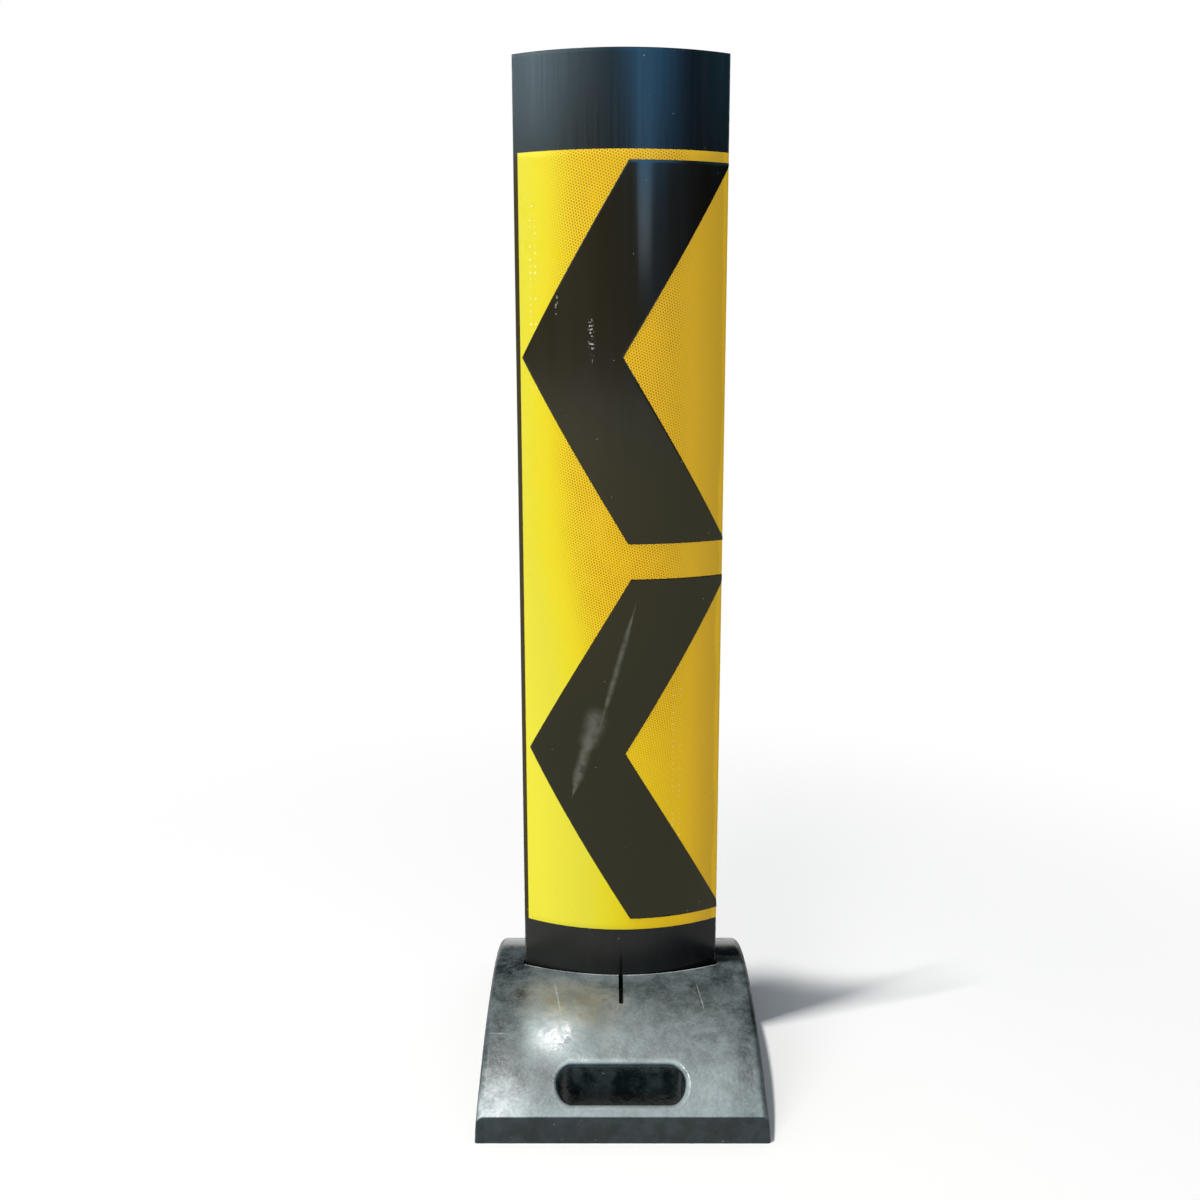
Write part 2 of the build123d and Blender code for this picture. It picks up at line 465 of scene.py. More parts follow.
# %% [markdown]
# ## One tree for every film, and for the blade
# A chevron's arm leans to the right as it leaves the tip, upwards and downwards alike. A plain strip is a
# chevron that doesn't lean. So a single tree makes the blade, the sheeting and both chevrons: it lays a
# grid, moves each row along by the lean, trims it at the right-hand limit and rolls it round the pipe.
# Cutting the chevrons out of a sheet would leave ragged faces along the slanted edges, and here the grid
# follows them.

# %% Geometry tree for a rolled strip
FLAT_PLACE = "flat_place"
STRIP_SOCKETS = {
    "Left": 0.0,
    "Width": 0.1,
    "Lean": 0.0,
    "Right Limit": 1.0,
    "Middle": 0.5,
    "Half Height": 0.1,
    "Radius": BLADE_RADIUS,
    "Columns": 10,
    "Rows": 11,
    "Finish": "NodeSocketMaterial",
}


def strip_place(tree, given):
    """Where a point of the grid, which is 1 wide and goes from -1 to 1 in height, lies on the flat strip."""
    spot = split(tree, add(tree, "GeometryNodeInputPosition").outputs[0])
    from_tip = calc(tree, "ABSOLUTE", spot["Y"])
    left = calc(tree, "MULTIPLY_ADD", from_tip, given["Lean"], given["Left"])
    right = calc(tree, "MINIMUM", calc(tree, "ADD", left, given["Width"]), given["Right Limit"])
    share = calc(tree, "ADD", spot["X"], 0.5)
    along = between(tree, share, left, right)
    height = calc(tree, "MULTIPLY_ADD", spot["Y"], given["Half Height"], given["Middle"])
    return join(tree, along, height, 0.0)


def make_strip_tree():
    """A strip or chevron with named sizes, rolled round the pipe."""
    outputs = {"Geometry": "NodeSocketGeometry"}
    tree, given, result = group_tree("rolled_strip", "GeometryNodeTree", STRIP_SOCKETS, outputs)
    size = {"Size X": 1.0, "Size Y": 2.0, "Vertices X": given["Columns"], "Vertices Y": given["Rows"]}
    grid = add(tree, "GeometryNodeMeshGrid", size).outputs["Mesh"]
    kept = {"Geometry": grid, "Name": FLAT_PLACE, "Value": strip_place(tree, given)}
    keep = add(tree, "GeometryNodeStoreNamedAttribute", kept, data_type="FLOAT_VECTOR").outputs[0]
    flat = add(tree, "GeometryNodeInputNamedAttribute", {"Name": FLAT_PLACE}, data_type="FLOAT_VECTOR")
    roll = add(tree, "GeometryNodeGroup", node_tree=roll_group)
    fill(tree, roll, {"Flat Place": flat.outputs["Attribute"], "Radius": given["Radius"]})
    moved = {"Geometry": keep, "Position": roll.outputs["Place"]}
    rolled = add(tree, "GeometryNodeSetPosition", moved).outputs[0]
    real = add(tree, "GeometryNodeRealizeInstances", {"Geometry": rolled}).outputs[0]
    dressed = {"Geometry": real, "Material": given["Finish"]}
    fill(tree, result, {"Geometry": add(tree, "GeometryNodeSetMaterial", dressed).outputs[0]})
    return tree


strip_tree = make_strip_tree()
strip_inputs = [item for item in strip_tree.interface.items_tree if item.in_out == "INPUT"]
strip_sockets = {item.name: item.identifier for item in strip_inputs}
print("strip tree takes:", sorted(strip_sockets))

# %% [markdown]
# ## From tree to plain mesh
# The tree leaves a sheet without thickness. Solidify gives it a wall, Bevel breaks its edges so that they
# catch a line of light, and the result is kept as a plain mesh, smooth but for real corners.

# %% Functions that make a strip into a plain mesh
SHARP_ANGLE = radians(40)
BEVEL_ANGLE = radians(60)
BEVEL_STEPS = 3


def keep_as_mesh(piece):
    """Evaluate a piece's modifiers and keep the result as its own plain mesh."""
    view = bpy.context.evaluated_depsgraph_get()
    mesh = bpy.data.meshes.new_from_object(piece.evaluated_get(view), depsgraph=view)
    mesh.name = piece.name
    piece.modifiers.clear()
    piece.data = mesh
    mesh.shade_smooth()
    mesh.set_sharp_from_angle(angle=SHARP_ANGLE)


def rolled_strip(name, finish, low, high, wall, edge, side, **sizes):
    """One strip between two levels, with a wall to one side (1 outward, -1 inward) and rounded edges."""
    piece = bpy.data.objects.new(name, bpy.data.meshes.new(name))
    bpy.context.scene.collection.objects.link(piece)
    strip = piece.modifiers.new("strip", "NODES")
    strip.node_group = strip_tree
    sizes.update(middle=(low + high) / 2, half_height=(high - low) / 2, finish=finish)
    for size_name, value in sizes.items():
        strip[strip_sockets[size_name.replace("_", " ").title()]] = value
    solid = piece.modifiers.new("wall", "SOLIDIFY")
    solid.thickness = wall
    solid.offset = side
    bevel = piece.modifiers.new("edge", "BEVEL")
    bevel.width = edge
    bevel.segments = BEVEL_STEPS
    bevel.limit_method = "ANGLE"
    bevel.angle_limit = BEVEL_ANGLE
    keep_as_mesh(piece)
    return piece


print("a strip becomes a plain mesh with a wall and rounded edges")

# %% [markdown]
# ## Shared effects for the finishes
# Five effects turn up on more than one piece. Specks are grains of dust, and on the sheeting painted
# glints. Streaks run up and down where plastic was drawn through a die. Patches are cloudy areas, more
# worn than what lies beside them. A smear follows a line and fades towards its ends. And the painted lit
# side tells how far round to the left a point lies: there the colours are painted lighter to stand in
# for the light from the left, so the yellow is paler and more lemon and the blacks a little paler. Each
# is a node group, built once and placed in a finish with values of its own.

# %% Shader groups for specks, streaks and patches
def make_specks_group():
    """Grains: 1 on a few random cells of a fine pattern, 0 between them."""
    sockets = {"Vector": VECTOR, "Scale": 300.0, "Share": 0.02, "Radius": 0.3}
    tree, given, result = group_tree("specks", "ShaderNodeTree", sockets, {"Mask": FLOAT})
    cells = add(tree, "ShaderNodeTexVoronoi", {"Vector": given["Vector"], "Scale": given["Scale"]})
    pick = add(tree, "ShaderNodeSeparateColor", {0: cells.outputs["Color"]}).outputs[0]
    chosen = calc(tree, "LESS_THAN", pick, given["Share"])
    inside = calc(tree, "LESS_THAN", cells.outputs["Distance"], given["Radius"])
    fill(tree, result, {"Mask": times(tree, chosen, inside)})
    return tree


def noise(tree, vector, scale, **others):
    """Cloudy noise, returning its value."""
    sockets = {name.title(): value for name, value in others.items()}
    return add(tree, "ShaderNodeTexNoise", {"Vector": vector, "Scale": scale, **sockets}).outputs[0]


def make_streaks_group():
    """Upright streaks: noise that is stretched far along the height."""
    sockets = {"Vector": VECTOR, "Fineness": 300.0, "Stretch": 0.01}
    tree, given, result = group_tree("upright_streaks", "ShaderNodeTree", sockets, {"Value": FLOAT})
    spot = split(tree, given["Vector"])
    squeezed = join(tree, spot["X"], times(tree, spot["Y"], given["Stretch"]), spot["Z"])
    fill(tree, result, {"Value": noise(tree, squeezed, given["Fineness"], detail=3.0, roughness=0.6)})
    return tree


def make_patches_group():
    """Cloudy patches: warped noise, cut off softly between two levels."""
    sockets = {"Vector": VECTOR, "Scale": 20.0, "Low": 0.4, "High": 0.7, "Warp": 0.6}
    tree, given, result = group_tree("patches", "ShaderNodeTree", sockets, {"Mask": FLOAT})
    warp = {"distortion": given["Warp"], "detail": 6.0, "roughness": 0.62}
    cloud = noise(tree, given["Vector"], given["Scale"], **warp)
    fill(tree, result, {"Mask": ramp(tree, cloud, given["Low"], given["High"])})
    return tree


specks_group = make_specks_group()
streaks_group = make_streaks_group()
patches_group = make_patches_group()
print("shader groups:", specks_group.name, streaks_group.name, patches_group.name)

# %% Shader group for smears
SMEAR_END = 0.5
SMEAR_BROAD = 0.15
SMEAR_NOISE = (0.3, 0.65)
SMEAR_THINNEST = 0.3


def vector_calc(tree, operation, first, second):
    """One sum with two vectors, returning its result as a vector."""
    return add(tree, "ShaderNodeVectorMath", {0: first, 1: second}, operation=operation).outputs["Vector"]


def dot(tree, first, second):
    """The dot product of two vectors."""
    sockets = {0: first, 1: second}
    return add(tree, "ShaderNodeVectorMath", sockets, operation="DOT_PRODUCT").outputs["Value"]


def make_smear_group():
    """A smear from a start to an end: widest in the middle, and broken up by noise."""
    sockets = {"Vector": VECTOR, "Start": VECTOR, "End": VECTOR, "Width": 0.005, "Grain": 150.0}
    tree, given, result = group_tree("smear", "ShaderNodeTree", sockets, {"Mask": FLOAT})
    line = vector_calc(tree, "SUBTRACT", given["End"], given["Start"])
    reach = vector_calc(tree, "SUBTRACT", given["Vector"], given["Start"])
    share = calc(tree, "DIVIDE", dot(tree, reach, line), dot(tree, line, line))
    on_line = add(tree, "ShaderNodeVectorMath", {0: line, "Scale": share}, operation="SCALE").outputs[0]
    off = length(tree, vector_calc(tree, "SUBTRACT", reach, on_line))
    from_middle = calc(tree, "ABSOLUTE", calc(tree, "SUBTRACT", share, 0.5))
    width = ramp(tree, from_middle, SMEAR_END, SMEAR_BROAD, 0.0, given["Width"])
    beside = times(tree, ramp(tree, off, width, 0.0), calc(tree, "LESS_THAN", from_middle, SMEAR_END))
    cloud = noise(tree, given["Vector"], given["Grain"], detail=4.0)
    broken = ramp(tree, cloud, *SMEAR_NOISE, SMEAR_THINNEST, 1.0)
    fill(tree, result, {"Mask": times(tree, beside, broken)})
    return tree


smear_group = make_smear_group()
print("shader group:", smear_group.name)

# %% Shader group for the sunny side
LOWER_PART = (0.66, 0.18)
LOWER_REACH = (0.100, 0.055)


def make_lit_side_group():
    """How lit a point is, for painted light: 1 at the left edge, 0 at the right, and more low down."""
    sockets = {"Vector": VECTOR, "Wander": 0.08, "Lower": 0.1}
    tree, given, result = group_tree("painted_lit_side", "ShaderNodeTree", sockets, {"Share": FLOAT})
    spot = split(tree, given["Vector"])
    even = ramp_straight(tree, spot["X"], BLADE_ARC / 2, -BLADE_ARC / 2)
    cloud = noise(tree, given["Vector"], scale=8.0, detail=2.0)
    wander = times(tree, calc(tree, "SUBTRACT", cloud, 0.5), given["Wander"])
    lower = times(tree, ramp(tree, spot["Y"], *LOWER_PART), ramp(tree, spot["X"], *LOWER_REACH))
    lower = times(tree, lower, given["Lower"])
    fill(tree, result, {"Share": calc(tree, "ADD", calc(tree, "ADD", even, wander), lower)})
    return tree


lit_side_group = make_lit_side_group()
print("shader group:", lit_side_group.name)

# %% [markdown]
# ## Black plastic of the blade
# The blade is extruded black plastic: satin, with fine upright die lines that draw reflections out into
# streaks, and with a few grains of dust. A very dark base colour and a low roughness do most of it. The
# die lines are far finer than any mesh, so they are a small bump, and the dust lifts the colour where a
# grain sits. The black is painted a little paler towards the lit left side. Three places differ from the
# rest: the two edges carry a painted grey highlight, the narrow strip left of the sheeting is brown, and
# a painted dark line, the reflection of the slot in the base, stands over the slot.

# %% Helpers for finishes
def place(tree, group, **values):
    """Place a shader group in a material with its own values, and return its result."""
    node = add(tree, "ShaderNodeGroup", node_tree=group)
    fill(tree, node, {name.title(): value for name, value in values.items()})
    return node.outputs[0]


def flat_place(tree):
    """Where a point lies on the flat sheet, kept when the sheet was rolled."""
    return add(tree, "ShaderNodeAttribute", attribute_name=FLAT_PLACE).outputs["Vector"]


def bump(tree, height, depth):
    """A normal that follows a height of some depth in metres."""
    return add(tree, "ShaderNodeBump", {"Height": height, "Distance": depth}).outputs[0]


print("effects can be placed in a finish")

# %% Finish: blade plastic
SHADED_BLACK = (0.0035, 0.0040, 0.0045, 1)
LIT_SIDE_BLACK = (0.018, 0.0185, 0.0165, 1)
STREAK_BLACK = (0.024, 0.023, 0.020, 1)
BROAD_STREAKS = (0.5, 0.8, 0.0, 0.4)
EDGE_HIGHLIGHT_GREY = (0.09, 0.093, 0.093, 1)
EDGE_ZONE = (BLADE_ARC / 2 - 0.0022, BLADE_ARC / 2 - 0.0010)
STRIP_BROWN = (0.048, 0.037, 0.014, 1)
STRIP_SIDE = (-0.1045, -0.1060)
STRIP_HEAD = (0.95, 0.93)
STRIP_FOOT = (0.141, 0.147)
STRIP_GLOSS = 0.4
SLOT_REFLECTION_BLACK = (0.003, 0.003, 0.003, 1)
SLOT_SIDE = (0.0020, 0.0008)
SLOT_HEIGHT = (0.134, 0.104, 0.0, 0.8)
GRAIN_GREY = (0.30, 0.30, 0.29, 1)
DIE_LINE_DEPTH = 0.00002
BLADE_ROUGHNESS = (0.3, 0.7, 0.16, 0.26)
LOW_GLOSS = 0.28
HIGH_GLOSS = 0.5
GLOSS_HEIGHT = (0.16, 0.30)
BLADE_IOR = 1.43


def make_blade_plastic():
    material, tree, shader = new_finish("blade_plastic")
    spot = flat_place(tree)
    parts = split(tree, spot)
    across = calc(tree, "ABSOLUTE", parts["X"])
    height = parts["Y"]
    lit_side = place(tree, lit_side_group, vector=spot, wander=0.2, lower=0.22)
    # painted light: the black is painted paler towards the lit left side, darker on the shaded right
    black = mix(tree, times(tree, lit_side, lit_side), SHADED_BLACK, LIT_SIDE_BLACK)
    broad = place(tree, streaks_group, vector=spot, fineness=70.0, stretch=0.03)
    black = mix(tree, ramp(tree, broad, *BROAD_STREAKS), black, STREAK_BLACK)
    worn = place(tree, patches_group, vector=spot, scale=90.0, low=0.35, high=0.65, warp=0.5)
    # painted highlight: a grey line along both edges, broken in patches, for light caught on their rounding
    black = mix(tree, times(tree, ramp(tree, across, *EDGE_ZONE), worn), black, EDGE_HIGHLIGHT_GREY)
    in_strip = times(tree, ramp(tree, height, *STRIP_HEAD), ramp(tree, height, *STRIP_FOOT))
    in_strip = times(tree, ramp(tree, parts["X"], *STRIP_SIDE), in_strip)
    black = mix(tree, in_strip, black, STRIP_BROWN)
    # painted reflection: a dark line above the slot, the slot mirrored in the glossy foot
    slot_reflection = times(tree, ramp(tree, across, *SLOT_SIDE), ramp(tree, height, *SLOT_HEIGHT))
    black = mix(tree, slot_reflection, black, SLOT_REFLECTION_BLACK)
    dust = place(tree, specks_group, vector=spot, scale=420.0, share=0.003, radius=0.2)
    fine = place(tree, streaks_group, vector=spot, fineness=420.0, stretch=0.004)
    gloss = ramp(tree, height, *GLOSS_HEIGHT, LOW_GLOSS, HIGH_GLOSS)
    fill(tree, shader, {
        "Base Color": mix(tree, dust, black, GRAIN_GREY),
        "Roughness": ramp(tree, fine, *BLADE_ROUGHNESS),
        "Normal": bump(tree, fine, DIE_LINE_DEPTH),
        "Specular IOR Level": times(tree, gloss, ramp(tree, in_strip, 0.0, 1.0, 1.0, STRIP_GLOSS)),
        "IOR": BLADE_IOR,
    })
    return material


blade_plastic = make_blade_plastic()
print("finish:", blade_plastic.name)

# %% [markdown]
# ## The blade
# The blade is one strip, a metre long, rolled round the pipe with its wall inward. The measured model
# holds it as three nodes, and one mesh in their place has no seams. Its foot is notched for the cross
# fin, so a boolean cuts the notch out of the finished strip.

# %% Make the blade
INWARD = -1.0
OUTWARD = 1.0

blade = rolled_strip(
    "blade", blade_plastic, foot_level, blade_top, BLADE_WALL, BLADE_EDGE, INWARD,
    left=-BLADE_ARC / 2, width=BLADE_ARC, lean=0.0, right_limit=BLADE_ARC,
    radius=BLADE_RADIUS, columns=73, rows=251,
)
print("blade:", len(blade.data.polygons), "faces")

# %% Cut the notch for the fin
FIN_SLACK = 0.00015

fin_low, fin_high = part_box("cross_fin")
notch_half = fin_high.x + FIN_SLACK
notch_top = (fin_low.z + fin_high.z) / 2
cutter_mesh = bpy.data.meshes.new("notch_cutter")
cutter_corners = [
    (x, y, z)
    for z in (foot_level - BLADE_WALL, notch_top)
    for y in (blade_front - BLADE_WALL, blade_front + 2 * BLADE_WALL)
    for x in (-notch_half, notch_half)
]
cutter_faces = [(0, 2, 3, 1), (4, 5, 7, 6), (0, 1, 5, 4), (2, 6, 7, 3), (0, 4, 6, 2), (1, 3, 7, 5)]
cutter_mesh.from_pydata(cutter_corners, [], cutter_faces)
cutter = bpy.data.objects.new("notch_cutter", cutter_mesh)
bpy.context.scene.collection.objects.link(cutter)
cut = blade.modifiers.new("notch", "BOOLEAN")
cut.operation = "DIFFERENCE"
cut.object = cutter
keep_as_mesh(blade)
bpy.data.objects.remove(cutter)

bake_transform(blade)
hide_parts("blade_root", "blade_fold_band", "blade_panel")
print("notch", round(2000 * notch_half, 2), "mm wide, blade now", len(blade.data.polygons), "faces")

# %% [markdown]
# ## Yellow prismatic sheeting
# Close up, the sheeting is a field of small prism cells under a clear skin. From a few steps away they
# show as slanting rows of tiny dots, a little darker than the yellow between them. An image could show
# them, but sums stay sharp at any distance. The dots sit on a staggered lattice: two plain lattices, one
# shifted by half a step, and the nearer of the two points wins. The yellow is painted paler and more
# lemon towards the lit left side, a painted gradient of light, and the dots drown there; they fade again
# on the far side and low down. Pale specks and, in two places, a pair of upright columns of cells are
# painted glints: pale spots in the colour.

# %% Cells and glints of the sheeting
CELL_PITCH = 0.0029
CELL_TURN = radians(20)
GLINT_PITCH = 0.0062
GLINT_SIZE = (0.0014, 0.0004)
GLINTS = [
    {"columns": (-0.0923, -0.0868), "foot": (0.68, 0.78), "head": (0.92, 0.84), "share": 1.0},
    {"columns": (0.0555, 0.0632), "foot": (0.20, 0.25), "head": (0.50, 0.42), "share": 0.40},
]


def lattice_distance(tree, spot, shift):
    """Distance to the nearest point of a lattice with rows 1.73 pitches apart, in pitches."""
    step = Vector((CELL_PITCH, CELL_PITCH * 3**0.5, 0.0))
    moved = vector_calc(tree, "ADD", spot, shift * step)
    half = step / 2 + Vector((0, 0, 1))
    near = add(tree, "ShaderNodeVectorMath", {0: moved, 1: half, 2: -half}, operation="WRAP").outputs[0]
    return calc(tree, "DIVIDE", length(tree, near), CELL_PITCH)


def cell_distance(tree, spot):
    """Distance to the nearest cell of the staggered lattice, in pitches."""
    turn = {"Vector": spot, "Angle": CELL_TURN}
    turned = add(tree, "ShaderNodeVectorRotate", turn, rotation_type="Z_AXIS").outputs[0]
    return calc(tree, "MINIMUM", *(lattice_distance(tree, turned, shift) for shift in (0.0, 0.5)))


def glints(tree, spot, columns, foot, head, share):
    """Painted glints: two columns of pale cells in the colour, between a foot and a head."""
    parts = split(tree, spot)
    beside = [calc(tree, "ABSOLUTE", calc(tree, "SUBTRACT", parts["X"], column)) for column in columns]
    up = calc(tree, "WRAP", parts["Y"], GLINT_PITCH / 2, -GLINT_PITCH / 2)
    off = length(tree, join(tree, calc(tree, "MINIMUM", *beside), up, 0.0))
    some = place(tree, patches_group, vector=spot, scale=120.0, low=0.45, high=0.60, warp=0.0)
    reach = times(tree, ramp(tree, parts["Y"], *foot), ramp(tree, parts["Y"], *head))
    return times(tree, ramp(tree, off, *GLINT_SIZE, 0.0, share), some, reach)


print("cells of", CELL_PITCH * 1000, "mm, glints in", len(GLINTS), "places")

# %% Finish: sheeting film
# painted light: the yellow runs from amber on the shaded right to paler lemon on the lit left and low down
YELLOWS = {
    0.021: (0.88, 0.55, 0.020),
    0.031: (0.74, 0.445, 0.025),
    0.30: (0.845, 0.52, 0.018),
    0.45: (0.88, 0.55, 0.014),
    0.69: (0.86, 0.60, 0.011),
    0.79: (0.83, 0.66, 0.013),
    0.89: (0.81, 0.700, 0.021),
    0.98: (0.775, 0.710, 0.046),
    1.20: (0.850, 0.780, 0.051),
}
MOST_LIT = 1.25
DOT_COLOUR = (0.42, 0.19, 0.004, 1)
DOT_SIZE = (0.42, 0.18)
WASHED_OUT_BY_LIGHT = (0.86, 0.70, 0.10, 1.0)
FAR_SIDE = (0.078, 0.049, 0.1, 1.0)
LOW_DOWN = (0.25, 0.45, 0.35, 1.0)
CLOUDY = (0.0, 1.0, 0.70, 1.0)
PAINTED_GLINT = (0.98, 0.93, 0.60, 1)
CELL_DEPTH = 0.00003
SHEETING_ROUGHNESS = (0.0, 1.0, 0.24, 0.36)
SHEETING_IOR = 1.45
SHEETING_GLOSS = 0.24


def make_sheeting_film():
    material, tree, shader = new_finish("sheeting_film")
    spot = flat_place(tree)
    parts = split(tree, spot)
    lit_side = place(tree, lit_side_group, vector=spot, wander=0.08, lower=0.31)
    stops = {sun / MOST_LIT: colour for sun, colour in YELLOWS.items()}
    yellow = colour_scale(tree, calc(tree, "DIVIDE", lit_side, MOST_LIT), stops)
    nearest = cell_distance(tree, spot)
    cloudy = place(tree, patches_group, vector=spot, scale=30.0, low=0.25, high=0.7, warp=0.4)
    # the dots fade out on the painted lit side
    dots = times(
        tree,
        ramp(tree, nearest, *DOT_SIZE),
        ramp(tree, lit_side, *WASHED_OUT_BY_LIGHT),
        ramp(tree, parts["X"], *FAR_SIDE),
        ramp(tree, parts["Y"], *LOW_DOWN),
        ramp(tree, cloudy, *CLOUDY),
    )
    dotted = mix(tree, dots, yellow, DOT_COLOUR)
    # painted glints: pale specks and columns of pale cells in the colour
    painted_glint = place(tree, specks_group, vector=spot, scale=300.0, share=0.0015, radius=0.24)
    for pair in GLINTS:
        painted_glint = calc(tree, "MAXIMUM", painted_glint, glints(tree, spot, **pair))
    fill(tree, shader, {
        "Base Color": mix(tree, painted_glint, dotted, PAINTED_GLINT),
        "Roughness": ramp(tree, cloudy, *SHEETING_ROUGHNESS),
        "Normal": bump(tree, nearest, CELL_DEPTH),
        "Specular IOR Level": SHEETING_GLOSS,
        "IOR": SHEETING_IOR,
    })
    return material


sheeting_film = make_sheeting_film()
print("finish:", sheeting_film.name, "in", len(YELLOWS), "yellows")

# %% Make the sheeting
LEFT_MARGIN = 0.006
RIGHT_MARGIN = 0.0008
SHEETING_WALL = 0.0005
GLUE = 0.00015
FILM_EDGE = 0.0001

sheeting_low, sheeting_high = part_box("front_sheeting")
sheeting_left = LEFT_MARGIN - BLADE_ARC / 2
sheeting_right = BLADE_ARC / 2 - RIGHT_MARGIN
sheeting = rolled_strip(
    "sheeting", sheeting_film, sheeting_low.z, sheeting_high.z, SHEETING_WALL, FILM_EDGE, OUTWARD,
    left=sheeting_left, width=sheeting_right - sheeting_left, lean=0.0, right_limit=sheeting_right,
    radius=BLADE_RADIUS + GLUE, columns=73, rows=121,
)
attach(sheeting, "blade")
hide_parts("front_sheeting")
print("sheeting:", len(sheeting.data.polygons), "faces")

# %% [markdown]
# ## Black chevron film
# The chevrons are smooth black film, glossier than the blade, painted a little brown towards the lit side
# as painted light, and with a warm sheen low down. They could be painted on the sheeting, but as films of
# their own they have an edge and a gloss of their own. A wiped mark runs down the lower one: a thin smear,
# a broad one that carries on from it, and a few soft spots where the two meet. The upper one has a short
# pale streak that is a painted glint and a short scuff beside it, both chipped rather than wiped. All of
# them lie on the flat film, so they bend with it.

# %% Finish: chevron film
FILM_BLACK = (0.003, 0.0032, 0.0028, 1)
FILM_LIT_BROWN = (0.022, 0.0185, 0.0100, 1)
LIT_BROWN_HEIGHT = (0.25, 0.70, 0.0, 1.2)
WIPED = {"start": (0.0175, 0.509, 0), "end": (-0.0245, 0.360, 0), "width": 0.0044}
WIPED_END = {"start": (-0.0270, 0.378, 0), "end": (-0.0530, 0.288, 0), "width": 0.0085}
WIPED_SPOTS = [
    ((-0.0265, 0.379, 0), 0.0160),
    ((-0.0290, 0.368, 0), 0.0155),
    ((-0.0335, 0.356, 0), 0.0140),
]
WIPED_PATCHES = (0.0, 1.0, 0.45, 0.85)
# the first pale streak is a painted glint, the one beside it a scuff
GLINT_STREAK = {"start": (-0.0305, 0.795, 0), "end": (-0.0280, 0.742, 0), "width": 0.0045}
SCUFF_BESIDE = {"start": (-0.0640, 0.814, 0), "end": (-0.0642, 0.784, 0), "width": 0.0022}
GREY = (0.105, 0.103, 0.092, 1)
PALE_GLINT_AND_SCUFF = (0.60, 0.60, 0.56, 1)
FILM_DUST = (0.28, 0.28, 0.26, 1)
WAVE_DEPTH = 0.00006
FILM_ROUGHNESS = (0.3, 0.7, 0.10, 0.16)
WARM_SHEEN = (1.0, 0.96, 0.58, 1)
SHEEN_FADE = (0.60, 0.80)
FILM_IOR = 1.42


def soft_spot(tree, spot, centre, radius):
    """1 at a centre, falling softly to 0 at a radius."""
    return ramp(tree, length(tree, vector_calc(tree, "SUBTRACT", spot, centre)), radius, 0.0)


def add_film_marks(tree, spot, black):
    """The black of the film with its wiped mark, a painted glint streak and a scuff."""
    for smear in (WIPED, WIPED_END):
        black = mix(tree, place(tree, smear_group, vector=spot, grain=90.0, **smear), black, GREY)
    broken = place(tree, patches_group, vector=spot, scale=140.0, low=0.3, high=0.65, warp=0.3)
    for centre, radius in WIPED_SPOTS:
        wiped = times(tree, soft_spot(tree, spot, centre, radius), ramp(tree, broken, *WIPED_PATCHES))
        black = mix(tree, wiped, black, GREY)
    chips = place(tree, specks_group, vector=spot, scale=520.0, share=0.40, radius=0.45)
    # pale marks: a painted glint and a scuff, both chipped
    for smear in (GLINT_STREAK, SCUFF_BESIDE):
        scuffed = place(tree, smear_group, vector=spot, grain=200.0, **smear)
        black = mix(tree, times(tree, scuffed, chips), black, PALE_GLINT_AND_SCUFF)
    return black


def make_chevron_film():
    material, tree, shader = new_finish("chevron_film")
    spot = flat_place(tree)
    height = split(tree, spot)["Y"]
    lit_side = place(tree, lit_side_group, vector=spot, wander=0.25, lower=0.22)
    # painted light: the black is painted brown towards the lit side, more higher up
    brown = times(tree, lit_side, ramp(tree, height, *LIT_BROWN_HEIGHT))
    black = add_film_marks(tree, spot, mix(tree, brown, FILM_BLACK, FILM_LIT_BROWN))
    dust = place(tree, specks_group, vector=spot, scale=420.0, share=0.003, radius=0.2)
    waves = place(tree, streaks_group, vector=spot, fineness=55.0, stretch=0.03)
    fill(tree, shader, {
        "Base Color": mix(tree, dust, black, FILM_DUST),
        "Roughness": ramp(tree, waves, *FILM_ROUGHNESS),
        "Normal": bump(tree, waves, WAVE_DEPTH),
        "Specular Tint": mix(tree, ramp(tree, height, *SHEEN_FADE), WARM_SHEEN, WHITE),
        "IOR": FILM_IOR,
    })
    return material


chevron_film = make_chevron_film()
print("finish:", chevron_film.name)

# %% Make the two chevrons
CHEVRON_BAND = 0.1052
CHEVRON_LEAN = 0.1105
TIP_MARGINS = {"upper_chevron": 0.0023, "lower_chevron": 0.0051}
CHEVRON_WALL = 0.0003


def make_chevron(node):
    """One chevron, at the height of its node."""
    low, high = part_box(node)
    piece = rolled_strip(
        node + "_film", chevron_film, low.z, high.z, CHEVRON_WALL, FILM_EDGE, OUTWARD,
        left=sheeting_left + TIP_MARGINS[node], width=CHEVRON_BAND, lean=CHEVRON_LEAN,
        right_limit=sheeting_right, radius=BLADE_RADIUS + 2 * GLUE + SHEETING_WALL, columns=41, rows=121,
    )
    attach(piece, "blade")
    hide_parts(node)
    return piece


for chevron in [make_chevron(node) for node in TIP_MARGINS]:
    print(chevron.name, len(chevron.data.polygons), "faces")

# %% [markdown]
# ## Weathered rubber: where a point lies
# The base is black rubber that has lain outdoors. The shape of the measured node is right, so it stays
# and only gets a finish. That finish could be painted by hand, but rules on the place of a point hold at
# any distance. So the first step is to measure that place: seen from above, from the middle, from the
# crest, and how squarely it faces the sky and the sun. Cloudy noise in three sizes breaks up all that
# follows.

# %% Places on the base
SUNWARD = (-0.60, -0.20, 0.77)
FACING_UP = (0.25, 0.75)


